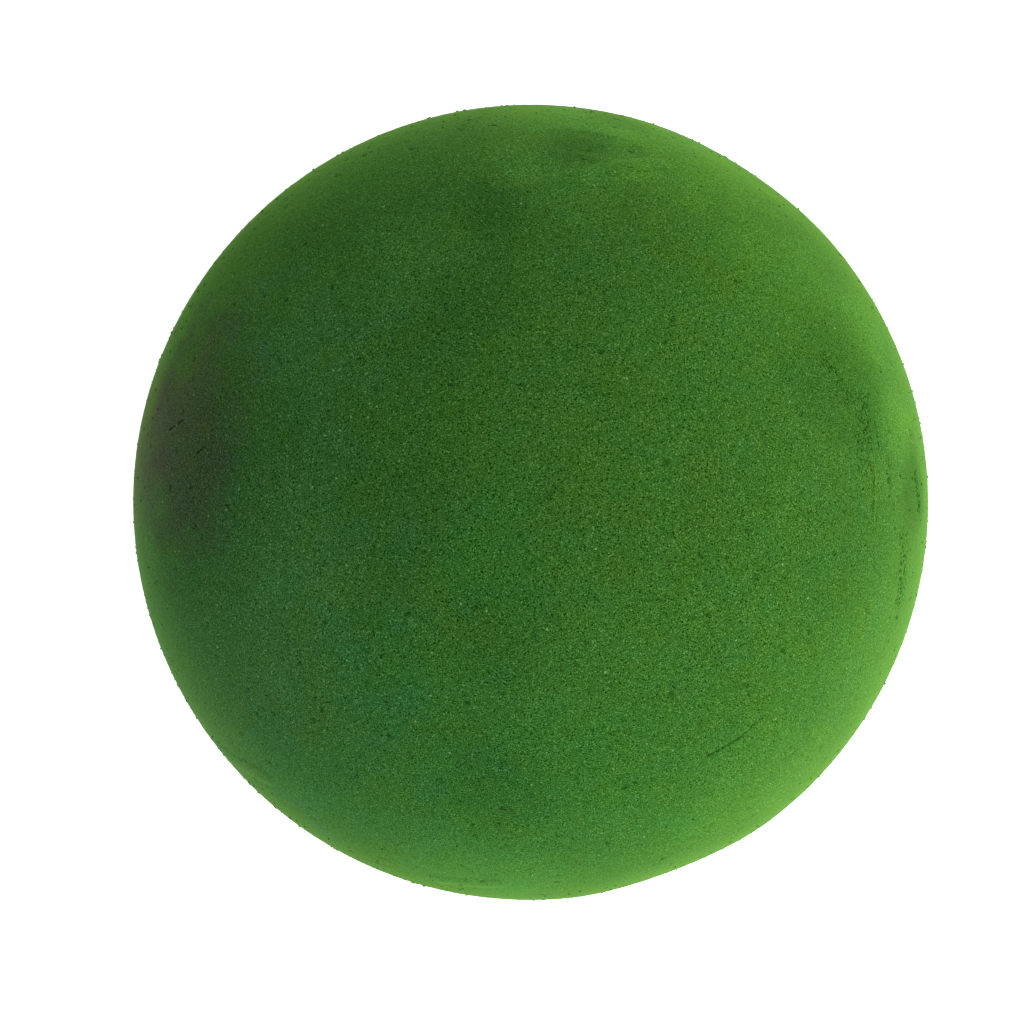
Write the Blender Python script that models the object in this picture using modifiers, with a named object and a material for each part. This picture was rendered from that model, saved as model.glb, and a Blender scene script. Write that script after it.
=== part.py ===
"""Floral foam ball: two turned half-balls of dry green foam, glued face to face.

Lengths are in metres and +Z is up. The origin is the centre of the flat foot that the ball
stands on. The halves meet at a level glue film through the ball's centre.
"""

import math
from dataclasses import dataclass

import bmesh
import bpy
from mathutils import Vector

# Driving dimensions
BALL_DIAMETER = 0.200
FOOT_DIAMETER = 0.044
GLUE_THICKNESS = 0.0006
GLUE_SETBACK = 0.0020
SEAT_GAP = 0.0003

# Worn patches on the sides: how deep and wide each one is, and which way it faces
FRONT_WEAR_DEPTH = 0.0008
FRONT_WEAR_DIAMETER = 0.056
FRONT_WEAR_AZIMUTH = math.radians(-69)
FRONT_WEAR_ELEVATION = math.radians(8)
REAR_WEAR_DEPTH = 0.0004
REAR_WEAR_DIAMETER = 0.060
REAR_WEAR_AZIMUTH = math.radians(57)
REAR_WEAR_ELEVATION = math.radians(12)

# Facets of the turned surfaces
TURN_STEPS = 72
ARC_STEPS = 18
MERGE_DISTANCE = 0.00001
SHARP_EDGE_ANGLE = math.radians(30)

# Worked out from the driving dimensions
BALL_RADIUS = BALL_DIAMETER / 2
FOOT_RADIUS = FOOT_DIAMETER / 2
CENTRE_HEIGHT = math.sqrt(BALL_RADIUS**2 - FOOT_RADIUS**2)
FACE_OFFSET = GLUE_THICKNESS / 2 + SEAT_GAP
FACE_RADIUS = math.sqrt(BALL_RADIUS**2 - FACE_OFFSET**2)

# Finishes: linear colour and roughness
FOAM_COLOUR = (0.075, 0.205, 0.042, 1.0)
FOAM_ROUGHNESS = 0.95
GLUE_COLOUR = (0.62, 0.55, 0.36, 1.0)
GLUE_ROUGHNESS = 0.45


@dataclass(frozen=True)
class WornPatch:
    """A shallow dish worn into the ball, given by its depth, width and the way it faces."""

    depth: float
    diameter: float
    azimuth: float
    elevation: float

    def normal(self) -> Vector:
        """The way the patch faces."""
        level = math.cos(self.elevation)
        return Vector(
            (
                level * math.cos(self.azimuth),
                level * math.sin(self.azimuth),
                math.sin(self.elevation),
            )
        )

    def depth_at(self, point: Vector) -> float:
        """How deep the patch is at a point of the ball: full in its middle, none past its edge."""
        across = (point - self.normal() * BALL_RADIUS).length
        share = min(1.0, across / (self.diameter / 2))
        return self.depth * (1.0 - share**2) ** 2


WORN_PATCHES = (
    WornPatch(FRONT_WEAR_DEPTH, FRONT_WEAR_DIAMETER, FRONT_WEAR_AZIMUTH, FRONT_WEAR_ELEVATION),
    WornPatch(REAR_WEAR_DEPTH, REAR_WEAR_DIAMETER, REAR_WEAR_AZIMUTH, REAR_WEAR_ELEVATION),
)


def clear_scene() -> None:
    """Remove every object that the open file holds."""
    for obj in list(bpy.data.objects):
        bpy.data.objects.remove(obj, do_unlink=True)


def new_collection(name: str) -> bpy.types.Collection:
    """A collection of the scene, by name."""
    collection = bpy.data.collections.new(name)
    bpy.context.scene.collection.children.link(collection)
    return collection


def new_material(name: str, colour: tuple, roughness: float) -> bpy.types.Material:
    """A plain non-metallic material."""
    material = bpy.data.materials.new(name)
    material.use_nodes = True
    shader = material.node_tree.nodes["Principled BSDF"]
    shader.inputs["Base Color"].default_value = colour
    shader.inputs["Roughness"].default_value = roughness
    shader.inputs["Metallic"].default_value = 0.0
    material.diffuse_color = colour
    return material


def arc_points(start: float, end: float) -> list:
    """Points of the ball's outline in the XZ plane, between two elevations, about its centre."""
    points = []
    for step in range(ARC_STEPS + 1):
        angle = start + (end - start) * step / ARC_STEPS
        points.append((BALL_RADIUS * math.cos(angle), BALL_RADIUS * math.sin(angle)))
    return points


def upper_profile() -> list:
    """The upper half's outline: from the pole down to its glue face, and in to the axis."""
    outline = arc_points(math.pi / 2, math.asin(FACE_OFFSET / BALL_RADIUS))
    outline[0] = (0.0, BALL_RADIUS)
    outline[-1] = (FACE_RADIUS, FACE_OFFSET)
    return outline + [(0.0, FACE_OFFSET)]


def lower_profile() -> list:
    """The lower half's outline: out along its glue face, down to the foot, and in to the axis."""
    foot_elevation = -math.acos(FOOT_RADIUS / BALL_RADIUS)
    outline = arc_points(-math.asin(FACE_OFFSET / BALL_RADIUS), foot_elevation)
    outline[0] = (FACE_RADIUS, -FACE_OFFSET)
    outline[-1] = (FOOT_RADIUS, -CENTRE_HEIGHT)
    return [(0.0, -FACE_OFFSET)] + outline + [(0.0, -CENTRE_HEIGHT)]


def turned_mesh(name: str, profile: list) -> bpy.types.Mesh:
    """Turn a profile in the XZ plane round the Z axis into a closed mesh."""
    line = bmesh.new()
    corners = [line.verts.new((x, 0.0, z)) for x, z in profile]
    for first, second in zip(corners, corners[1:]):
        line.edges.new((first, second))
    outline_mesh = bpy.data.meshes.new(name + "_profile")
    line.to_mesh(outline_mesh)
    line.free()

    outline = bpy.data.objects.new(name + "_profile", outline_mesh)
    bpy.context.scene.collection.objects.link(outline)
    screw = outline.modifiers.new("turn", "SCREW")
    screw.axis = "Z"
    screw.angle = math.tau
    screw.steps = TURN_STEPS
    screw.render_steps = TURN_STEPS
    screw.use_merge_vertices = True
    screw.merge_threshold = MERGE_DISTANCE

    depsgraph = bpy.context.evaluated_depsgraph_get()
    mesh = bpy.data.meshes.new_from_object(outline.evaluated_get(depsgraph))
    bpy.data.objects.remove(outline, do_unlink=True)
    mesh.name = name
    return mesh


def draw_in(point: Vector, distance: float) -> None:
    """Move a point level towards the ball's axis."""
    reach = point.xy.length
    if reach > distance:
        point.xy *= (reach - distance) / reach


def wear_down(point: Vector) -> None:
    """Move a point of the ball's surface in by the worn patches that it lies in."""
    depth = sum(patch.depth_at(point) for patch in WORN_PATCHES)
    draw_in(point, depth)


def add_part(
    name: str,
    mesh: bpy.types.Mesh,
    material: bpy.types.Material,
    collection: bpy.types.Collection,
    parent: bpy.types.Object,
) -> bpy.types.Object:
    """Make one named piece of the ball from its mesh."""
    mesh.materials.clear()
    mesh.materials.append(material)
    mesh.shade_smooth()
    mesh.set_sharp_from_angle(angle=SHARP_EDGE_ANGLE)
    part = bpy.data.objects.new(name, mesh)
    part.parent = parent
    collection.objects.link(part)
    return part


def foam_half(name: str, profile: list) -> bpy.types.Mesh:
    """One turned half of the ball, with its worn patches."""
    mesh = turned_mesh(name, profile)
    half = bmesh.new()
    half.from_mesh(mesh)
    for vertex in half.verts:
        wear_down(vertex.co)
    bmesh.ops.recalc_face_normals(half, faces=half.faces)
    half.to_mesh(mesh)
    half.free()
    return mesh


def glue_film(name: str) -> bpy.types.Mesh:
    """The thin film between the halves, which ends a little way in from the ball's surface."""
    film = bmesh.new()
    bmesh.ops.create_cone(
        film,
        cap_ends=True,
        segments=TURN_STEPS,
        radius1=FACE_RADIUS,
        radius2=FACE_RADIUS,
        depth=GLUE_THICKNESS,
    )
    for vertex in film.verts:
        wear_down(vertex.co)
        draw_in(vertex.co, GLUE_SETBACK)
    mesh = bpy.data.meshes.new(name)
    film.to_mesh(mesh)
    film.free()
    return mesh


def main() -> None:
    """Build the ball about an empty at its centre."""
    clear_scene()
    collection = new_collection("floral_foam_ball")
    centre = bpy.data.objects.new("ball_centre", None)
    centre.location = (0.0, 0.0, CENTRE_HEIGHT)
    collection.objects.link(centre)

    upper_foam = new_material("upper_half_foam", FOAM_COLOUR, FOAM_ROUGHNESS)
    lower_foam = new_material("lower_half_foam", FOAM_COLOUR, FOAM_ROUGHNESS)
    glue = new_material("glue", GLUE_COLOUR, GLUE_ROUGHNESS)

    upper = foam_half("upper_half", upper_profile())
    lower = foam_half("lower_half", lower_profile())
    film = glue_film("glue_film")

    add_part("upper_half", upper, upper_foam, collection, centre)
    add_part("lower_half", lower, lower_foam, collection, centre)
    add_part("glue_film", film, glue, collection, centre)
    bpy.context.view_layer.update()


main()
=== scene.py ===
"""Looks of the floral foam ball: grainy green foam halves, their glue line and a bright studio table.

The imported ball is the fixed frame. Its two half-balls are replaced by finely meshed ones that carry
the foam's grain, pits, crumbs and scratches. Lengths are in metres unless a name ends in MM.
"""

import logging
import math
import random
from dataclasses import dataclass, field
from enum import Enum
from typing import Any

import bmesh
import bpy
from mathutils import Euler, Matrix, Vector, noise

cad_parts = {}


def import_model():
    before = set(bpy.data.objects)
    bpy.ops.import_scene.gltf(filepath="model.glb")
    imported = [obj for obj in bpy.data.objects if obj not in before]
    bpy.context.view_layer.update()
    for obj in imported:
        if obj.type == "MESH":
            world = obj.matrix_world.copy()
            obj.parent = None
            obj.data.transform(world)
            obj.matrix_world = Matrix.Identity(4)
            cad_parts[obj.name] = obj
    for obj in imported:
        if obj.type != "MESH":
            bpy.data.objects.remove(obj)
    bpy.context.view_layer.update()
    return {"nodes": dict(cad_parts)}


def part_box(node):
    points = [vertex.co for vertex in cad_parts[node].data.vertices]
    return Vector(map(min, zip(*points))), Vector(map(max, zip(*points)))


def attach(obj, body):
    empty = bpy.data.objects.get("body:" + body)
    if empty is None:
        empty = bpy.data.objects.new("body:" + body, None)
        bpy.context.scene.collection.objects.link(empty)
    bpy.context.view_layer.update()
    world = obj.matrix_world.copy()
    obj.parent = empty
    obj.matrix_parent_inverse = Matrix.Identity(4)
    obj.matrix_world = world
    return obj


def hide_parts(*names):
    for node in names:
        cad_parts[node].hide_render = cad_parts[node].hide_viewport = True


LOG = logging.getLogger("floral_foam_ball")
MM = 0.001
IMAGE_PIXELS = 1024
GRAIN_SEED = 11

# Settings of the Mix node that lays one colour over another, or multiplies the two
LAID_OVER = {"data_type": "RGBA", "blend_type": "MIX"}
MULTIPLIED = {"data_type": "RGBA", "blend_type": "MULTIPLY"}

# That node's sockets by number, because its colour sockets share their names with others
SHARE, BELOW, ABOVE = 0, 6, 7
MIXED = 2


class Side(Enum):
    """Which half of the ball a piece is, as the sign of its height above the glue line."""

    UPPER = 1
    LOWER = -1


def linear(hex_colour: str) -> tuple[float, float, float, float]:
    """Turn an sRGB hex colour into linear light.

    Args:
        hex_colour: Six hex digits after a hash sign.

    Returns:
        Linear red, green and blue, and full alpha.
    """
    channels = [int(hex_colour[i : i + 2], 16) / 255 for i in (1, 3, 5)]
    values = [c / 12.92 if c <= 0.04045 else ((c + 0.055) / 1.055) ** 2.4 for c in channels]
    return (values[0], values[1], values[2], 1.0)


def per_metre(feature_mm: float) -> float:
    """Texture scale that gives features of a real size in millimetres."""
    return 1.0 / (feature_mm * MM)


def add_node(
    tree: bpy.types.NodeTree,
    kind: str,
    settings: dict[str, Any] | None = None,
    inputs: dict[str | int, Any] | None = None,
    stops: tuple[tuple[float, tuple], ...] = (),
) -> bpy.types.Node:
    """Add a shader node with its settings and ramp stops, and link or set its inputs.

    Args:
        tree: The node tree that gets the node.
        kind: The node's type name.
        settings: Properties of the node itself.
        inputs: Input sockets by name or index, each an output socket to link or a value to set.
        stops: Pairs of position and linear colour, in order, where the node is a colour ramp.

    Returns:
        The new node.
    """
    node = tree.nodes.new(kind)
    for name, value in (settings or {}).items():
        setattr(node, name, value)
    for name, value in (inputs or {}).items():
        if isinstance(value, bpy.types.NodeSocket):
            tree.links.new(value, node.inputs[name])
        else:
            node.inputs[name].default_value = value
    if stops:
        elements = node.color_ramp.elements
        while len(elements) < len(stops):
            elements.new(1.0)
        for element, (position, colour) in zip(elements, stops):
            element.position = position
            element.color = colour
    return node


@dataclass(frozen=True)
class Ball:
    """The ball's own sizes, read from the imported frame."""

    radius: float
    centre: Vector
    foot_height: float

    @classmethod
    def from_frame(cls) -> "Ball":
        """Read the ball's radius, centre and foot from its packed halves and glue film.

        Returns:
            The ball as it stands in the frame.
        """
        _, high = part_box("upper_half")
        film_low, film_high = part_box("glue_film")
        foot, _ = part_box("lower_half")
        middle = (film_low.z + film_high.z) / 2
        return cls(high.z - middle, Vector((0.0, 0.0, middle)), foot.z)

    def seen_from_above(self, right_mm: float, back_mm: float) -> Vector:
        """Unit vector to a place on the upper half, given as it is seen from straight above.

        Args:
            right_mm: How far the place lies to the right of the centre.
            back_mm: How far it lies behind the centre.

        Returns:
            The direction of that place from the ball's centre.
        """
        x, y = right_mm * MM / self.radius, back_mm * MM / self.radius
        return Vector((x, y, math.sqrt(max(0.0, 1.0 - x * x - y * y)))).normalized()


@dataclass(frozen=True)
class WornPatch:
    """A shallow dish worn into the ball, as in the solids."""

    depth: float
    diameter: float
    azimuth: float
    elevation: float

    def depth_at(self, ball: Ball, direction: Vector) -> float:
        """How deep the patch is in a direction from the ball's centre.

        Args:
            ball: The ball that carries the patch.
            direction: Unit vector from the ball's centre.

        Returns:
            The depth there, full in the patch's middle and nothing past its edge.
        """
        level = math.cos(self.elevation)
        faces = Vector(
            (level * math.cos(self.azimuth), level * math.sin(self.azimuth), math.sin(self.elevation))
        )
        across = (direction - faces).length * ball.radius
        share = min(1.0, across / (self.diameter / 2))
        return self.depth * (1.0 - share**2) ** 2


# The patches that the solids have: at the front and at the back right
WORN_PATCHES = (
    WornPatch(0.8 * MM, 56 * MM, math.radians(-69), math.radians(8)),
    WornPatch(0.4 * MM, 60 * MM, math.radians(57), math.radians(12)),
)

# How a broken mark comes and goes: the size of its torn spots, and how much they take and vary
TEAR_SIZE = 0.6 * MM
TEAR_LOSS = 0.6
TEAR_SWING = 2.0

# A high power gives a mark a flat floor and steep sides
MARK_EDGE_POWER = 4


@dataclass(frozen=True)
class Mark:
    """A scratch, tool mark or dent along a line on the upper half. A negative depth stands proud."""

    start: Vector
    run: Vector
    width: float
    depth: float
    broken: float

    def gap(self, point: Vector) -> float:
        """How far a point of the surface lies from the mark's middle line."""
        along = min(1.0, max(0.0, (point - self.start).dot(self.run) / self.run.length_squared))
        return (point - self.start - self.run * along).length

    def depth_at(self, point: Vector) -> float:
        """How deep the mark is at a point of the surface.

        Args:
            point: A place on the ball, from its centre.

        Returns:
            The depth there, full on the middle line and nothing past the edge.
        """
        share = self.gap(point) / (self.width / 2)
        if share >= 1.0:
            return 0.0
        torn = 1.0 - self.broken * (TEAR_LOSS - TEAR_SWING * noise.noise(point / TEAR_SIZE))
        return self.depth * (1.0 - share**MARK_EDGE_POWER) * max(0.0, torn)


@dataclass(frozen=True)
class MarkPlan:
    """Where a mark lies, in millimetres right of and behind the ball's centre, seen from above."""

    start: tuple[float, float]
    end: tuple[float, float]
    width_mm: float
    depth_mm: float
    broken: float = 0.0

    def on(self, ball: Ball) -> Mark:
        """Lay the mark on the ball.

        Args:
            ball: The ball that gets the mark.

        Returns:
            The mark in metres, from the ball's centre.
        """
        start = ball.seen_from_above(*self.start) * ball.radius
        run = ball.seen_from_above(*self.end) * ball.radius - start
        return Mark(start, run, self.width_mm * MM, self.depth_mm * MM, self.broken)


# Thin scratches at the left and at the lower right
SCRATCHES = (
    MarkPlan((-86.5, 17.2), (-82.5, 19.6), 0.6, 0.38),
    MarkPlan((-78.7, 11.4), (-76.6, 12.9), 0.7, 0.3),
    MarkPlan((40.6, -58.7), (48.1, -54.6), 0.9, 0.4, 0.5),
    MarkPlan((48.1, -54.6), (53.0, -50.0), 0.8, 0.3, 0.7),
)

# Torn rows of cells that the turning tool left at the right
TOOL_MARKS = (
    MarkPlan((67.6, 33.9), (74.0, 24.1), 4.5, 0.2, 1.8),
    MarkPlan((77.4, 23.0), (77.6, 9.0), 8.0, 0.21, 1.7),
    MarkPlan((80.8, 18.7), (81.7, 12.6), 1.2, 0.18, 0.9),
    MarkPlan((84.0, 9.0), (84.4, 4.0), 3.0, 0.14, 1.8),
    MarkPlan((92.8, 6.8), (94.3, -1.2), 3.2, 0.23, 1.3),
    MarkPlan((89.0, -9.0), (88.8, -23.0), 7.0, 0.2, 1.7),
    MarkPlan((80.3, 7.4), (80.0, -4.4), 1.2, -0.25, 0.4),
)

# Single open cells, most of them at the back, where crumbs have fallen out
PIT_PLACES = (
    (39.9, 74.7), (13.3, 83.3), (16.4, 84.8), (23.4, 83.5), (14.2, 93.4), (3.0, 76.8),
    (12.0, 80.6), (23.0, 78.6), (-9.0, 90.5), (-15.1, 92.7), (-1.1, 71.5), (88.2, -27.9),
)
PIT_HALF_RUN_MM = 0.3
PIT_WIDTH_MM = 0.9
PIT_DEPTH_MM = 0.34
PIT_BROKEN = 0.5
PITS = tuple(
    MarkPlan((x - PIT_HALF_RUN_MM, y), (x + PIT_HALF_RUN_MM, y), PIT_WIDTH_MM, PIT_DEPTH_MM, PIT_BROKEN)
    for x, y in PIT_PLACES
)

# Wide shallow dents and ridges left by handling
DENTS = (
    MarkPlan((9.0, 86.0), (20.0, 84.0), 14.0, 0.3),
    MarkPlan((-4.0, 71.5), (30.0, 80.0), 6.0, -0.25),
    MarkPlan((-21.7, -91.8), (-8.8, -92.2), 7.0, -0.2),
    MarkPlan((-76.0, -61.0), (-64.5, -65.8), 7.0, -0.2),
)


@dataclass(frozen=True)
class StainOrPaintedLight:
    """A soft patch of changed colour, placed as a mark is: full in its core, and gone past its reach. Some
    are the foam's own drift and bruise, and some are partly painted light and painted shade.
    """

    right_mm: float
    back_mm: float
    reach_mm: float
    core_mm: float
    strength: float
    shade: str

    def centre(self, ball: Ball) -> Vector:
        """The middle of the patch in the ball's frame."""
        return ball.centre + ball.seen_from_above(self.right_mm, self.back_mm) * ball.radius

    def tint(self, plain: str) -> tuple[float, ...]:
        """How much of each colour's light the patch leaves, against the plain foam."""
        return tuple(ours / theirs for ours, theirs in zip(linear(self.shade), linear(plain)))


# The foam's own colour, freshly broken foam's, and the foam's where it is bruised or where it drifts. The
# lighter and darker shades are partly drift and partly painted light and painted shade, and the bluish one
# is a painted cast of cooler light
FOAM_GREEN = "#488933"
BROKEN_GREEN = "#64a64c"
BROWN = "#4e6238"
DARKER_DRIFT_AND_PAINTED_SHADE = "#2e6523"
LIGHTER_DRIFT_AND_PAINTED_LIGHT = "#55a03d"
WARM = "#4d892c"
COOL = "#408935"
BLUE_CAST_OF_PAINTED_LIGHT = "#488942"
YELLOWISH = "#48892b"
# The lighter and darker patches are partly the foam's colour drift and partly painted light and painted
# shade; the bluish ones on the left are a painted cast of cooler light
STAINS_AND_PAINTED_LIGHT = (
    StainOrPaintedLight(62.0, 62.0, 60.0, 20.0, 0.5, YELLOWISH),
    StainOrPaintedLight(40.0, -62.0, 45.0, 15.0, 0.4, YELLOWISH),
    StainOrPaintedLight(-73.5, 43.0, 14.0, 4.0, 0.5, YELLOWISH),
    # Bluish: the painted cast of cooler light on the left side
    StainOrPaintedLight(-45.0, 48.0, 50.0, 15.0, 0.25, BLUE_CAST_OF_PAINTED_LIGHT),
    StainOrPaintedLight(-85.0, -25.0, 95.0, 35.0, 0.85, BLUE_CAST_OF_PAINTED_LIGHT),
    StainOrPaintedLight(55.0, 10.0, 75.0, 25.0, 0.5, WARM),
    StainOrPaintedLight(36.0, 70.0, 34.0, 8.0, 0.4, WARM),
    StainOrPaintedLight(-5.0, -78.0, 60.0, 20.0, 0.6, COOL),
    StainOrPaintedLight(-10.0, -14.0, 18.0, 5.0, 0.5, COOL),
    StainOrPaintedLight(-32.0, -38.0, 22.0, 6.0, 0.5, COOL),
    StainOrPaintedLight(-55.0, -65.0, 30.0, 8.0, 0.5, COOL),
    StainOrPaintedLight(-32.0, 84.0, 26.0, 8.0, 0.35, COOL),
    StainOrPaintedLight(80.0, 19.0, 14.0, 4.0, 0.4, COOL),
    # Lighter: partly colour drift and partly painted light, many of them at the outline
    StainOrPaintedLight(-27.0, 56.0, 20.0, 5.0, 0.3, LIGHTER_DRIFT_AND_PAINTED_LIGHT),
    StainOrPaintedLight(58.0, 58.0, 24.0, 6.0, 0.3, LIGHTER_DRIFT_AND_PAINTED_LIGHT),
    StainOrPaintedLight(79.0, 42.0, 16.0, 5.0, 0.35, LIGHTER_DRIFT_AND_PAINTED_LIGHT),
    StainOrPaintedLight(-4.0, 81.0, 13.0, 4.0, 0.4, LIGHTER_DRIFT_AND_PAINTED_LIGHT),
    StainOrPaintedLight(20.0, 80.0, 14.0, 4.0, 0.35, LIGHTER_DRIFT_AND_PAINTED_LIGHT),
    StainOrPaintedLight(54.0, -68.0, 30.0, 8.0, 0.3, LIGHTER_DRIFT_AND_PAINTED_LIGHT),
    StainOrPaintedLight(78.0, -36.0, 24.0, 6.0, 0.2, LIGHTER_DRIFT_AND_PAINTED_LIGHT),
    StainOrPaintedLight(-10.0, -90.0, 30.0, 8.0, 0.3, LIGHTER_DRIFT_AND_PAINTED_LIGHT),
    StainOrPaintedLight(-47.0, 42.0, 30.0, 8.0, 0.4, LIGHTER_DRIFT_AND_PAINTED_LIGHT),
    StainOrPaintedLight(-50.0, -8.0, 26.0, 6.0, 0.3, LIGHTER_DRIFT_AND_PAINTED_LIGHT),
    StainOrPaintedLight(-56.0, -34.0, 24.0, 6.0, 0.3, LIGHTER_DRIFT_AND_PAINTED_LIGHT),
    StainOrPaintedLight(38.0, 82.0, 36.0, 10.0, 0.5, LIGHTER_DRIFT_AND_PAINTED_LIGHT),
    StainOrPaintedLight(6.0, 93.0, 24.0, 6.0, 0.6, LIGHTER_DRIFT_AND_PAINTED_LIGHT),
    StainOrPaintedLight(6.0, 73.5, 17.0, 5.0, 0.4, LIGHTER_DRIFT_AND_PAINTED_LIGHT),
    StainOrPaintedLight(87.0, 19.0, 13.0, 4.0, 0.45, LIGHTER_DRIFT_AND_PAINTED_LIGHT),
    # Darker: partly colour drift and partly painted shade, in dents and at the outline
    StainOrPaintedLight(12.0, 84.0, 14.0, 4.0, 0.4, DARKER_DRIFT_AND_PAINTED_SHADE),
    StainOrPaintedLight(-9.0, 66.5, 15.0, 4.0, 0.3, DARKER_DRIFT_AND_PAINTED_SHADE),
    StainOrPaintedLight(-15.0, 44.0, 18.0, 4.0, 0.2, DARKER_DRIFT_AND_PAINTED_SHADE),
    StainOrPaintedLight(-30.0, -4.0, 22.0, 5.0, 0.25, DARKER_DRIFT_AND_PAINTED_SHADE),
    StainOrPaintedLight(-10.0, -31.0, 16.0, 4.0, 0.2, DARKER_DRIFT_AND_PAINTED_SHADE),
    StainOrPaintedLight(-7.0, -67.0, 20.0, 4.0, 0.25, DARKER_DRIFT_AND_PAINTED_SHADE),
    StainOrPaintedLight(72.0, 29.0, 26.0, 8.0, 0.35, DARKER_DRIFT_AND_PAINTED_SHADE),
    StainOrPaintedLight(72.0, -10.0, 26.0, 8.0, 0.15, DARKER_DRIFT_AND_PAINTED_SHADE),
    StainOrPaintedLight(93.0, 3.0, 15.0, 4.0, 0.5, DARKER_DRIFT_AND_PAINTED_SHADE),
    StainOrPaintedLight(-85.0, 36.0, 16.0, 5.0, 0.25, DARKER_DRIFT_AND_PAINTED_SHADE),
    StainOrPaintedLight(-83.0, -13.0, 22.0, 5.0, 0.2, DARKER_DRIFT_AND_PAINTED_SHADE),
    StainOrPaintedLight(-75.0, 59.0, 30.0, 8.0, 0.3, DARKER_DRIFT_AND_PAINTED_SHADE),
    StainOrPaintedLight(-52.0, 62.0, 18.0, 5.0, 0.15, DARKER_DRIFT_AND_PAINTED_SHADE),
    StainOrPaintedLight(-83.0, 16.0, 38.0, 10.0, 0.7, BROWN),
    StainOrPaintedLight(-95.0, 16.0, 34.0, 10.0, 0.42, BROWN),
)

# How bright cell mouths, whole walls and broken walls are against the foam's colour
GRAIN_STEPS = (
    (0.2, (0.12, 0.38, 0.05, 1.0)),
    (0.35, (0.4, 0.6, 0.32, 1.0)),
    (0.5, (1.0, 1.0, 1.0, 1.0)),
    (0.65, (2.0, 1.52, 2.3, 1.0)),
    (0.8, (4.3, 2.5, 5.2, 1.0)),
)

# How far cool and warm patches, and dark and light clouds, change the foam's colour
TINT_STEPS = (
    (0.3, (0.91, 1.0, 1.12, 1.0)),
    (0.7, (1.09, 1.0, 0.88, 1.0)),
)
CLOUD_STEPS = (
    (0.3, (0.95, 0.95, 0.95, 1.0)),
    (0.7, (1.05, 1.05, 1.05, 1.0)),
)


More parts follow.
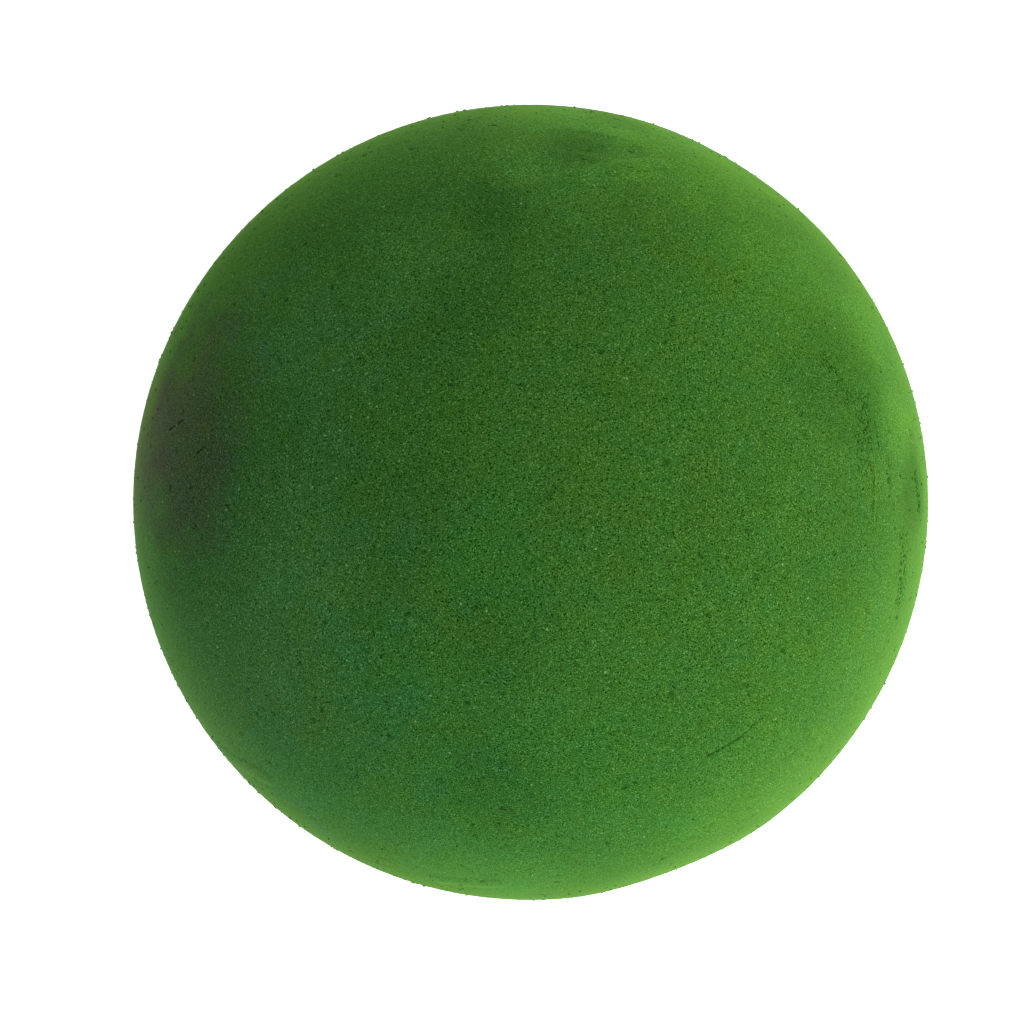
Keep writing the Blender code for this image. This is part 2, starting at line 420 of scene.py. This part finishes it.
@dataclass(frozen=True)
class PhenolicFoam:
    """Dry open-cell phenolic foam, turned and dusty: matt, with dark cell mouths and pale broken walls."""

    ball: Ball
    body: str = FOAM_GREEN
    # Painted shade: the dark green laid into the hollows of marks and open cells
    hollow: str = "#14360d"
    pore: str = "#1c480f"
    speck: str = "#7cc25e"
    dust: str = "#a8cf8c"
    # The painted sheen's pale green, laid over the foam towards the outline at a grazing view
    sheen_colour: str = "#7ebc4a"
    cell_mm: float = 0.26
    cell_share: float = 2.4
    grain_mm: float = 0.36
    tint_mm: float = 8.0
    cloud_mm: float = 26.0
    waver_mm: float = 12.0
    pore_spacing_mm: float = 1.05
    pore_mm: float = 0.27
    speck_spacing_mm: float = 1.15
    speck_mm: float = 0.23
    dust_spacing_mm: float = 7.0
    dust_mm: float = 0.32
    spot_core: float = 0.6
    drift_detail: float = 3.0
    bump_mm: float = 0.12
    bump_strength: float = 0.7
    roughness: float = 0.95
    refraction: float = 1.5
    specular: float = 0.02
    # How broad and how steep the painted sheen is towards the outline
    sheen_blend: float = 0.5
    sheen_power: float = 3.2

    def material(self, name: str) -> bpy.types.Material:
        """Make the foam's material.

        Args:
            name: What the material is called.

        Returns:
            The new material.
        """
        made = bpy.data.materials.new(name)
        made.use_nodes = True
        tree = made.node_tree
        shader = tree.nodes["Principled BSDF"]
        shader.inputs["Roughness"].default_value = self.roughness
        shader.inputs["IOR"].default_value = self.refraction
        # An open-cell surface has no skin to shine
        shader.inputs["Specular IOR Level"].default_value = self.specular

        place = add_node(tree, "ShaderNodeTexCoord").outputs["Object"]
        speckle = self._speckle(tree, place)
        grain = add_node(tree, "ShaderNodeValToRGB", inputs={"Fac": speckle}, stops=GRAIN_STEPS)
        colour = add_node(
            tree,
            "ShaderNodeMix",
            MULTIPLIED,
            {
                SHARE: 1.0,
                BELOW: self._mottled(tree, place, linear(self.body)),
                ABOVE: grain.outputs["Color"],
            },
        ).outputs[MIXED]
        colour = self._spotted(tree, place, colour, self.pore_spacing_mm, self.pore_mm, self.pore)
        colour = self._spotted(tree, place, colour, self.speck_spacing_mm, self.speck_mm, self.speck)
        # Painted shade: hollows are darkened by how deep they are sunk
        painted_shade_share = add_node(
            tree, "ShaderNodeAttribute", {"attribute_name": "hollow"}
        ).outputs["Fac"]
        colour = add_node(
            tree,
            "ShaderNodeMix",
            LAID_OVER,
            {SHARE: painted_shade_share, BELOW: colour, ABOVE: linear(self.hollow)},
        ).outputs[MIXED]
        # Painted sheen: the colour turns pale green towards the outline
        colour = self._painted_sheen(tree, colour)
        # Stains, with patches of painted light and painted shade
        colour = self._stained_and_painted_light(tree, place, colour)
        colour = self._spotted(tree, place, colour, self.dust_spacing_mm, self.dust_mm, self.dust)
        tree.links.new(colour, shader.inputs["Base Color"])

        bump = add_node(
            tree,
            "ShaderNodeBump",
            inputs={
                "Height": speckle,
                "Strength": self.bump_strength,
                "Distance": self.bump_mm * MM,
            },
        )
        tree.links.new(bump.outputs["Normal"], shader.inputs["Normal"])
        return made

    def _speckle(self, tree: bpy.types.NodeTree, place: Any) -> Any:
        """Cell mouths and broken walls. Real cells are finer, and are drawn as coarse as they show.

        Args:
            tree: The material's node tree.
            place: The surface's place in the ball's frame.

        Returns:
            A socket that runs from 0 in cell mouths to 1 on broken walls.
        """
        cells = add_node(
            tree,
            "ShaderNodeTexNoise",
            inputs={"Vector": place, "Scale": per_metre(self.cell_mm), "Detail": 0.0},
        ).outputs["Fac"]
        grain = add_node(
            tree,
            "ShaderNodeTexNoise",
            inputs={"Vector": place, "Scale": per_metre(self.grain_mm), "Detail": 0.0},
        ).outputs["Fac"]
        return add_node(
            tree,
            "ShaderNodeMapRange",
            {"clamp": False},
            {
                "Value": add_node(
                    tree,
                    "ShaderNodeMath",
                    {"operation": "MULTIPLY_ADD"},
                    {0: cells, 1: self.cell_share, 2: grain},
                ).outputs[0],
                "From Max": 1.0 + self.cell_share,
            },
        ).outputs["Result"]

    def _mottled(self, tree: bpy.types.NodeTree, place: Any, colour: Any) -> Any:
        """Lay cool and warm patches, and broad light and dark clouds, over a colour.

        Args:
            tree: The material's node tree.
            place: The surface's place in the ball's frame.
            colour: The colour below the patches.

        Returns:
            The mottled colour's socket.
        """
        for size_mm, steps in ((self.tint_mm, TINT_STEPS), (self.cloud_mm, CLOUD_STEPS)):
            drift = add_node(
                tree,
                "ShaderNodeTexNoise",
                inputs={"Vector": place, "Scale": per_metre(size_mm), "Detail": self.drift_detail},
            ).outputs["Fac"]
            shades = add_node(tree, "ShaderNodeValToRGB", inputs={"Fac": drift}, stops=steps)
            colour = add_node(
                tree,
                "ShaderNodeMix",
                MULTIPLIED,
                {SHARE: 1.0, BELOW: colour, ABOVE: shades.outputs["Color"]},
            ).outputs[MIXED]
        return colour

    def _stained_and_painted_light(self, tree: bpy.types.NodeTree, place: Any, colour: Any) -> Any:
        """Lay the soft stains and the patches of painted light and painted shade over a colour, with their
        edges wavering.

        Args:
            tree: The material's node tree.
            place: The surface's place in the ball's frame.
            colour: The colour below the stains and the painted light and shade.

        Returns:
            The colour's socket with the stains and the painted light and shade.
        """
        waver = add_node(
            tree,
            "ShaderNodeTexNoise",
            inputs={
                "Vector": place,
                "Scale": per_metre(self.waver_mm),
                "Detail": self.drift_detail,
            },
        ).outputs["Fac"]
        for colour_patch in STAINS_AND_PAINTED_LIGHT:
            reach = add_node(
                tree,
                "ShaderNodeVectorMath",
                {"operation": "DISTANCE"},
                {0: place, 1: colour_patch.centre(self.ball)},
            ).outputs["Value"]
            ragged = add_node(
                tree,
                "ShaderNodeMath",
                {"operation": "MULTIPLY_ADD"},
                {0: waver, 1: colour_patch.reach_mm * MM, 2: reach},
            ).outputs[0]
            # The wavering adds half the reach on average, so the limits lie that much further out
            added_mm = colour_patch.reach_mm / 2
            share = add_node(
                tree,
                "ShaderNodeMapRange",
                {"interpolation_type": "SMOOTHSTEP"},
                {
                    "Value": ragged,
                    "From Min": (colour_patch.reach_mm + added_mm) * MM,
                    "From Max": (colour_patch.core_mm + added_mm) * MM,
                    "To Max": colour_patch.strength,
                },
            ).outputs["Result"]
            colour = add_node(
                tree,
                "ShaderNodeMix",
                MULTIPLIED,
                {SHARE: share, BELOW: colour, ABOVE: colour_patch.tint(FOAM_GREEN)},
            ).outputs[MIXED]
        return colour

    def _spotted(
        self,
        tree: bpy.types.NodeTree,
        place: Any,
        colour: Any,
        spacing_mm: float,
        spot_mm: float,
        shade: str,
    ) -> Any:
        """Scatter small round spots over a colour, such as pores or specks of dust.

        Args:
            tree: The material's node tree.
            place: The surface's place in the ball's frame.
            colour: The colour below the spots.
            spacing_mm: How far apart the spots lie in the solid foam.
            spot_mm: How far each one reaches from its middle.
            shade: The colour of the spots.

        Returns:
            The spotted colour's socket.
        """
        spots = add_node(
            tree,
            "ShaderNodeTexVoronoi",
            inputs={"Vector": place, "Scale": per_metre(spacing_mm)},
        ).outputs["Distance"]
        edge = spot_mm / spacing_mm
        share = add_node(
            tree,
            "ShaderNodeMapRange",
            inputs={"Value": spots, "From Min": edge, "From Max": edge * self.spot_core},
        ).outputs["Result"]
        return add_node(
            tree,
            "ShaderNodeMix",
            LAID_OVER,
            {SHARE: share, BELOW: colour, ABOVE: linear(shade)},
        ).outputs[MIXED]

    def _painted_sheen(self, tree: bpy.types.NodeTree, colour: Any) -> Any:
        """Paint a sheen into a colour, brightening it towards a pale green at a grazing view.

        Args:
            tree: The material's node tree.
            colour: The colour below the painted sheen.

        Returns:
            The colour's socket with the painted sheen.
        """
        facing = add_node(
            tree, "ShaderNodeLayerWeight", inputs={"Blend": self.sheen_blend}
        ).outputs["Facing"]
        share = add_node(
            tree, "ShaderNodeMath", {"operation": "POWER"}, {0: facing, 1: self.sheen_power}
        ).outputs[0]
        return add_node(
            tree,
            "ShaderNodeMix",
            LAID_OVER,
            {SHARE: share, BELOW: colour, ABOVE: linear(self.sheen_colour)},
        ).outputs[MIXED]


@dataclass(frozen=True)
class ContactGlue:
    """Dried contact glue: a slightly glossy amber film, darker where it is thick."""

    thin: str = "#b49a5e"
    thick: str = "#8c7440"
    ripple_mm: float = 2.0
    ripple_detail: float = 2.0
    thick_below: float = 0.35
    thin_above: float = 0.65
    roughness: float = 0.4

    def material(self, name: str) -> bpy.types.Material:
        """Make the glue's material.

        Args:
            name: What the material is called.

        Returns:
            The new material.
        """
        made = bpy.data.materials.new(name)
        made.use_nodes = True
        tree = made.node_tree
        shader = tree.nodes["Principled BSDF"]
        shader.inputs["Roughness"].default_value = self.roughness
        place = add_node(tree, "ShaderNodeTexCoord").outputs["Object"]
        ripple = add_node(
            tree,
            "ShaderNodeTexNoise",
            inputs={
                "Vector": place,
                "Scale": per_metre(self.ripple_mm),
                "Detail": self.ripple_detail,
            },
        ).outputs["Fac"]
        ramp = add_node(
            tree,
            "ShaderNodeValToRGB",
            inputs={"Fac": ripple},
            stops=((self.thick_below, linear(self.thick)), (self.thin_above, linear(self.thin))),
        )
        tree.links.new(ramp.outputs["Color"], shader.inputs["Base Color"])
        return made


def seat_piece(mesh: bmesh.types.BMesh, name: str, material: bpy.types.Material) -> bpy.types.Object:
    """Turn a finished mesh into a piece of foam and seat it in the frame.

    Args:
        mesh: The mesh in the ball's frame, which is freed.
        name: What the piece is called.
        material: The piece's foam.

    Returns:
        The new piece.
    """
    data = bpy.data.meshes.new(name)
    mesh.to_mesh(data)
    mesh.free()
    data.materials.append(material)
    piece = bpy.data.objects.new(name, data)
    bpy.context.scene.collection.objects.link(piece)
    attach(piece, "root")
    LOG.info("%s: %d faces", name, len(data.polygons))
    return piece


@dataclass
class FoamHalf:
    """One half of the ball as a fine mesh with its grain, pits and marks."""

    side: Side
    ball: Ball
    name: str
    node: str
    subdivisions: int = 8
    # The seam's groove, its nearly touching lips, and the room for the glue film behind them
    seam_half_gap: float = 0.15 * MM
    groove_depth: float = 0.5 * MM
    lip_half_gap: float = 0.02 * MM
    lip_depth: float = 1.4 * MM
    film_half_room: float = 0.36 * MM
    crisp_angle: float = math.radians(50)
    # The surface's grain, its broad unevenness, its open cells, and the depth at which a hollow's painted
    # shade is full
    grain_height: float = 0.02 * MM
    lobe_height: float = 0.2 * MM
    lobe_size: float = 70 * MM
    pit_share: float = 0.004
    pit_depth: float = 0.5 * MM
    shallowest_pit: float = 0.4
    full_shade_depth: float = 0.7 * MM
    # How finely the places with marks are meshed
    mark_margin: float = 0.6 * MM
    thin_width: float = 1.0 * MM
    wide_cuts: int = 2
    thin_cuts: int = 3
    marks: list[Mark] = field(default_factory=list)
    dents: list[Mark] = field(default_factory=list)

    def __post_init__(self) -> None:
        """Lay the marks and dents on the upper half, which is the half that carries them."""
        if self.side is Side.UPPER:
            self.marks = [plan.on(self.ball) for plan in SCRATCHES + TOOL_MARKS + PITS]
            self.dents = [plan.on(self.ball) for plan in DENTS]

    def build(self, material: bpy.types.Material) -> bpy.types.Object:
        """Make the half, dress it and seat it in the frame.

        Args:
            material: The foam.

        Returns:
            The finished piece.
        """
        mesh = bmesh.new()
        bmesh.ops.create_icosphere(mesh, subdivisions=self.subdivisions, radius=self.ball.radius)
        self._keep_side(mesh)
        self._refine_marks(mesh)
        self._roughen(mesh)
        self._close_glue_face(mesh)
        bmesh.ops.translate(mesh, verts=mesh.verts, vec=self.ball.centre)
        bmesh.ops.recalc_face_normals(mesh, faces=mesh.faces)
        piece = seat_piece(mesh, self.name, material)
        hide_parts(self.node)
        piece.data.shade_smooth()
        piece.data.set_sharp_from_angle(angle=self.crisp_angle)
        return piece

    def _keep_side(self, mesh: bmesh.types.BMesh) -> None:
        """Cut the ball at the glue line and keep this half.

        Args:
            mesh: The whole ball about its centre.
        """
        sign = self.side.value
        bmesh.ops.bisect_plane(
            mesh,
            geom=mesh.verts[:] + mesh.edges[:] + mesh.faces[:],
            plane_co=(0.0, 0.0, sign * self.seam_half_gap),
            plane_no=(0.0, 0.0, -sign),
            clear_outer=True,
        )

    def _refine_marks(self, mesh: bmesh.types.BMesh) -> None:
        """Mesh the places that carry marks more finely, and those with thin marks finest.

        Args:
            mesh: The half about the ball's centre.
        """
        wide = [mark for mark in self.marks if mark.width >= self.thin_width]
        thin = [mark for mark in self.marks if mark.width < self.thin_width]
        for marks, cuts in ((wide, self.wide_cuts), (thin, self.thin_cuts)):
            close = {
                vertex
                for vertex in mesh.verts
                if any(mark.gap(vertex.co) < mark.width / 2 + self.mark_margin for mark in marks)
            }
            edges = [edge for edge in mesh.edges if not close.isdisjoint(edge.verts)]
            if edges:
                bmesh.ops.subdivide_edges(mesh, edges=edges, cuts=cuts, use_grid_fill=True)
                bmesh.ops.triangulate(mesh, faces=[f for f in mesh.faces if len(f.verts) > 3])

    def _roughen(self, mesh: bmesh.types.BMesh) -> None:
        """Move every point of the surface by the foam's grain, wear and marks, and note how deep each
        hollow is for its painted shade.

        Args:
            mesh: The half about the ball's centre.
        """
        draw = random.Random(GRAIN_SEED + self.side.value)
        foot = self.ball.foot_height - self.ball.centre.z
        painted_shade_layer = mesh.verts.layers.float.new("hollow")
        for vertex in mesh.verts:
            direction = vertex.co.normalized()
            relief = draw.gauss(0.0, self.grain_height)
            if draw.random() < self.pit_share:
                relief -= self.pit_depth * draw.uniform(self.shallowest_pit, 1.0)
            surface = direction * self.ball.radius
            relief -= sum(mark.depth_at(surface) for mark in self.marks)
            # How much painted shade the point gets, by how deep it is sunk
            vertex[painted_shade_layer] = min(1.0, max(0.0, -relief / self.full_shade_depth))
            rim_height = vertex.co.z
            vertex.co = direction * (self.reach(direction) + relief)
            # The rim stays level along the seam, and the foot stays flat
            if vertex.is_boundary:
                vertex.co.z = rim_height
            vertex.co.z = max(foot, vertex.co.z)

    def reach(self, direction: Vector) -> float:
        """How far the worn, dented and slightly uneven surface lies from the ball's centre.

        Args:
            direction: Unit vector from the ball's centre.

        Returns:
            The distance, without the fine relief.
        """
        surface = direction * self.ball.radius
        worn = sum(patch.depth_at(self.ball, direction) for patch in WORN_PATCHES)
        dented = sum(dent.depth_at(surface) for dent in self.dents)
        uneven = self.lobe_height * noise.noise(surface / self.lobe_size)
        return self.ball.radius - worn - dented + uneven

    def _close_glue_face(self, mesh: bmesh.types.BMesh) -> None:
        """Turn the cut edge in as a groove and a lip, step back from the glue film, and close the face.

        Args:
            mesh: The half about the ball's centre, open at its cut edge.
        """
        sign = self.side.value
        rim = [edge for edge in mesh.edges if edge.is_boundary]
        # How far each step goes in, and its height off the middle of the seam
        steps = (
            (self.groove_depth, self.lip_half_gap),
            (self.lip_depth - self.groove_depth, self.lip_half_gap),
            (0.0, self.film_half_room),
        )
        for draw_in, height in steps:
            grown = bmesh.ops.extrude_edge_only(mesh, edges=rim)["geom"]
            for vertex in (part for part in grown if isinstance(part, bmesh.types.BMVert)):
                reach = vertex.co.xy.length
                vertex.co.xy *= (reach - draw_in) / reach
                vertex.co.z = sign * height
            rim = [part for part in grown if isinstance(part, bmesh.types.BMEdge) and part.is_boundary]
        bmesh.ops.holes_fill(mesh, edges=rim, sides=0)
        bmesh.ops.triangulate(mesh, faces=[f for f in mesh.faces if len(f.verts) > 4])


@dataclass
class Crumbs:
    """Small crumbs of broken foam that stick out of one half's surface."""

    half: FoamHalf
    name: str
    count: int = 3000
    smallest: float = 0.16 * MM
    largest: float = 0.5 * MM
    flattest: float = 0.7
    longest: float = 1.25
    sunk_share: float = 0.3
    # How far from the seam they lie, as shares of the radius, so that the foot stays clear
    nearest_seam: float = 0.01
    farthest_seam: float = 0.96

    def build(self, material: bpy.types.Material) -> bpy.types.Object:
        """Scatter the crumbs over the half and seat them in the frame.

        Args:
            material: The crumbs' foam.

        Returns:
            The finished piece.
        """
        draw = random.Random(self.name)
        crumb = bmesh.new()
        bmesh.ops.create_icosphere(crumb, subdivisions=1, radius=1.0)
        crumb.verts.index_update()
        mesh = bmesh.new()
        # One crumb is copied point by point, because thousands of operator calls would be slow
        for _ in range(self.count):
            place = self._place(draw)
            corners = [mesh.verts.new(place @ corner.co) for corner in crumb.verts]
            for face in crumb.faces:
                mesh.faces.new([corners[corner.index] for corner in face.verts])
        crumb.free()
        return seat_piece(mesh, self.name, material)

    def _place(self, draw: random.Random) -> Matrix:
        """Choose where one crumb lies, how it is turned and its size. Small ones are more common.

        Args:
            draw: Where the chances come from.

        Returns:
            The matrix that brings a ball of unit radius there, partly sunk in the surface.
        """
        rise = self.half.side.value * draw.uniform(self.nearest_seam, self.farthest_seam)
        turn = draw.uniform(0.0, math.tau)
        level = math.sqrt(1.0 - rise**2)
        direction = Vector((level * math.cos(turn), level * math.sin(turn), rise))
        radius = self.smallest + (self.largest - self.smallest) * draw.random() ** 2
        reach = self.half.reach(direction) - self.sunk_share * radius
        tilt = Euler([draw.uniform(0.0, math.tau) for _ in range(3)])
        shape = Vector([radius * draw.uniform(self.flattest, self.longest) for _ in range(3)])
        return Matrix.LocRotScale(self.half.ball.centre + direction * reach, tilt, shape)


@dataclass(frozen=True)
class Studio:
    """A pale lit table, a soft light above at the front right, and a camera looking down."""

    ball: Ball
    # The camera's height over the ball's centre, and the outline's radius and middle in the photograph
    camera_distance: float = 0.8
    sensor_mm: float = 36.0
    outline_pixels: float = 397.6
    outline_centre: tuple[float, float] = (530.8, 502.8)
    # The table, and its glow on its dim and bright sides
    table_size: float = 8.0
    table_colour: str = "#e6e6e4"
    table_roughness: float = 0.8
    glow_colour: str = "#ffffff"
    table_dim: float = 0.76
    table_bright: float = 1.66
    table_fade: float = 0.3
    table_bright_azimuth: float = math.radians(-22)
    # The light's place from the ball's centre, its diameter, and its power in watts
    light_place: tuple[float, float, float] = (0.777, -0.314, 1.244)
    light_size: float = 1.8
    light_power: float = 13.8
    ambient: float = 0.08
    backdrop: str = "#f2f2f0"

    def camera(self) -> bpy.types.Object:
        """Place the camera straight above the ball, framed as the outline in the photograph.

        Returns:
            The camera.
        """
        half_angle = math.asin(self.ball.radius / self.camera_distance)
        focal_pixels = self.outline_pixels / math.tan(half_angle)
        data = bpy.data.cameras.new("camera")
        data.sensor_width = self.sensor_mm
        data.lens = focal_pixels * self.sensor_mm / IMAGE_PIXELS
        eye = bpy.data.objects.new("camera", data)
        middle = IMAGE_PIXELS / 2
        per_pixel = self.camera_distance / focal_pixels
        eye.location = self.ball.centre + Vector(
            (
                (middle - self.outline_centre[0]) * per_pixel,
                (self.outline_centre[1] - middle) * per_pixel,
                self.camera_distance,
            )
        )
        bpy.context.scene.collection.objects.link(eye)
        bpy.context.scene.camera = eye
        return eye

    def table(self) -> bpy.types.Object:
        """Lay the pale table, which glows most at the front right.

        Returns:
            The table.
        """
        mesh = bmesh.new()
        bmesh.ops.create_grid(mesh, x_segments=1, y_segments=1, size=self.table_size / 2)
        data = bpy.data.meshes.new("table")
        mesh.to_mesh(data)
        mesh.free()
        data.materials.append(self._table_material())
        top = bpy.data.objects.new("table", data)
        bpy.context.scene.collection.objects.link(top)
        return top

    def _table_material(self) -> bpy.types.Material:
        """White acrylic, lit from below.

        Returns:
            The table's material.
        """
        made = bpy.data.materials.new("lit_white_acrylic")
        made.use_nodes = True
        tree = made.node_tree
        shader = tree.nodes["Principled BSDF"]
        shader.inputs["Base Color"].default_value = linear(self.table_colour)
        shader.inputs["Roughness"].default_value = self.table_roughness
        shader.inputs["Emission Color"].default_value = linear(self.glow_colour)
        place = add_node(tree, "ShaderNodeTexCoord").outputs["Object"]
        turned = add_node(
            tree,
            "ShaderNodeVectorRotate",
            {"rotation_type": "Z_AXIS"},
            {"Vector": place, "Angle": -self.table_bright_azimuth},
        ).outputs["Vector"]
        towards = add_node(tree, "ShaderNodeSeparateXYZ", inputs={"Vector": turned}).outputs["X"]
        glow = add_node(
            tree,
            "ShaderNodeMapRange",
            inputs={
                "Value": towards,
                "From Min": -self.table_fade,
                "From Max": self.table_fade,
                "To Min": self.table_dim,
                "To Max": self.table_bright,
            },
        ).outputs["Result"]
        tree.links.new(glow, shader.inputs["Emission Strength"])
        return made

    def soft_light(self) -> bpy.types.Object:
        """Hang the round soft light, which faces the ball.

        Returns:
            The light.
        """
        place = Vector(self.light_place)
        data = bpy.data.lights.new("front_right", "AREA")
        data.shape = "DISK"
        data.size = self.light_size
        data.energy = self.light_power
        lamp = bpy.data.objects.new("front_right", data)
        lamp.location = self.ball.centre + place
        lamp.rotation_mode = "QUATERNION"
        lamp.rotation_quaternion = (-place).to_track_quat("-Z", "Y")
        bpy.context.scene.collection.objects.link(lamp)
        return lamp

    def world(self) -> None:
        """A pale backdrop that lights the ball only a little."""
        world = bpy.data.worlds.new("backdrop")
        world.use_nodes = True
        tree = world.node_tree
        seen = add_node(tree, "ShaderNodeLightPath").outputs["Is Camera Ray"]
        strength = add_node(
            tree,
            "ShaderNodeMapRange",
            inputs={"Value": seen, "To Min": self.ambient, "To Max": 1.0},
        ).outputs["Result"]
        background = tree.nodes["Background"]
        background.inputs["Color"].default_value = linear(self.backdrop)
        tree.links.new(strength, background.inputs["Strength"])
        bpy.context.scene.world = world

    def build(self) -> None:
        """Set up the camera, table, backdrop, light and plain colours."""
        self.camera()
        self.table()
        self.world()
        self.soft_light()
        view = bpy.context.scene.view_settings
        view.view_transform = "Standard"
        view.look = "None"


def main() -> None:
    """Build the ball's halves round the frame, dress the glue film and set the studio."""
    logging.basicConfig(level=logging.INFO)
    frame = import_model()
    ball = Ball.from_frame()

    Studio(ball).build()
    foam = PhenolicFoam(ball).material("dry_phenolic_foam")
    broken_foam = PhenolicFoam(ball, body=BROKEN_GREEN).material("broken_phenolic_foam")
    for side in Side:
        label = side.name.lower()
        half = FoamHalf(side, ball, f"{label}_foam", f"{label}_half")
        half.build(foam)
        Crumbs(half, f"{label}_crumbs").build(broken_foam)

    film = frame["nodes"]["glue_film"]
    film.data.materials.clear()
    film.data.materials.append(ContactGlue().material("dried_contact_glue"))
    LOG.info("glue_film: dressed")


if __name__ == "__main__":
    main()
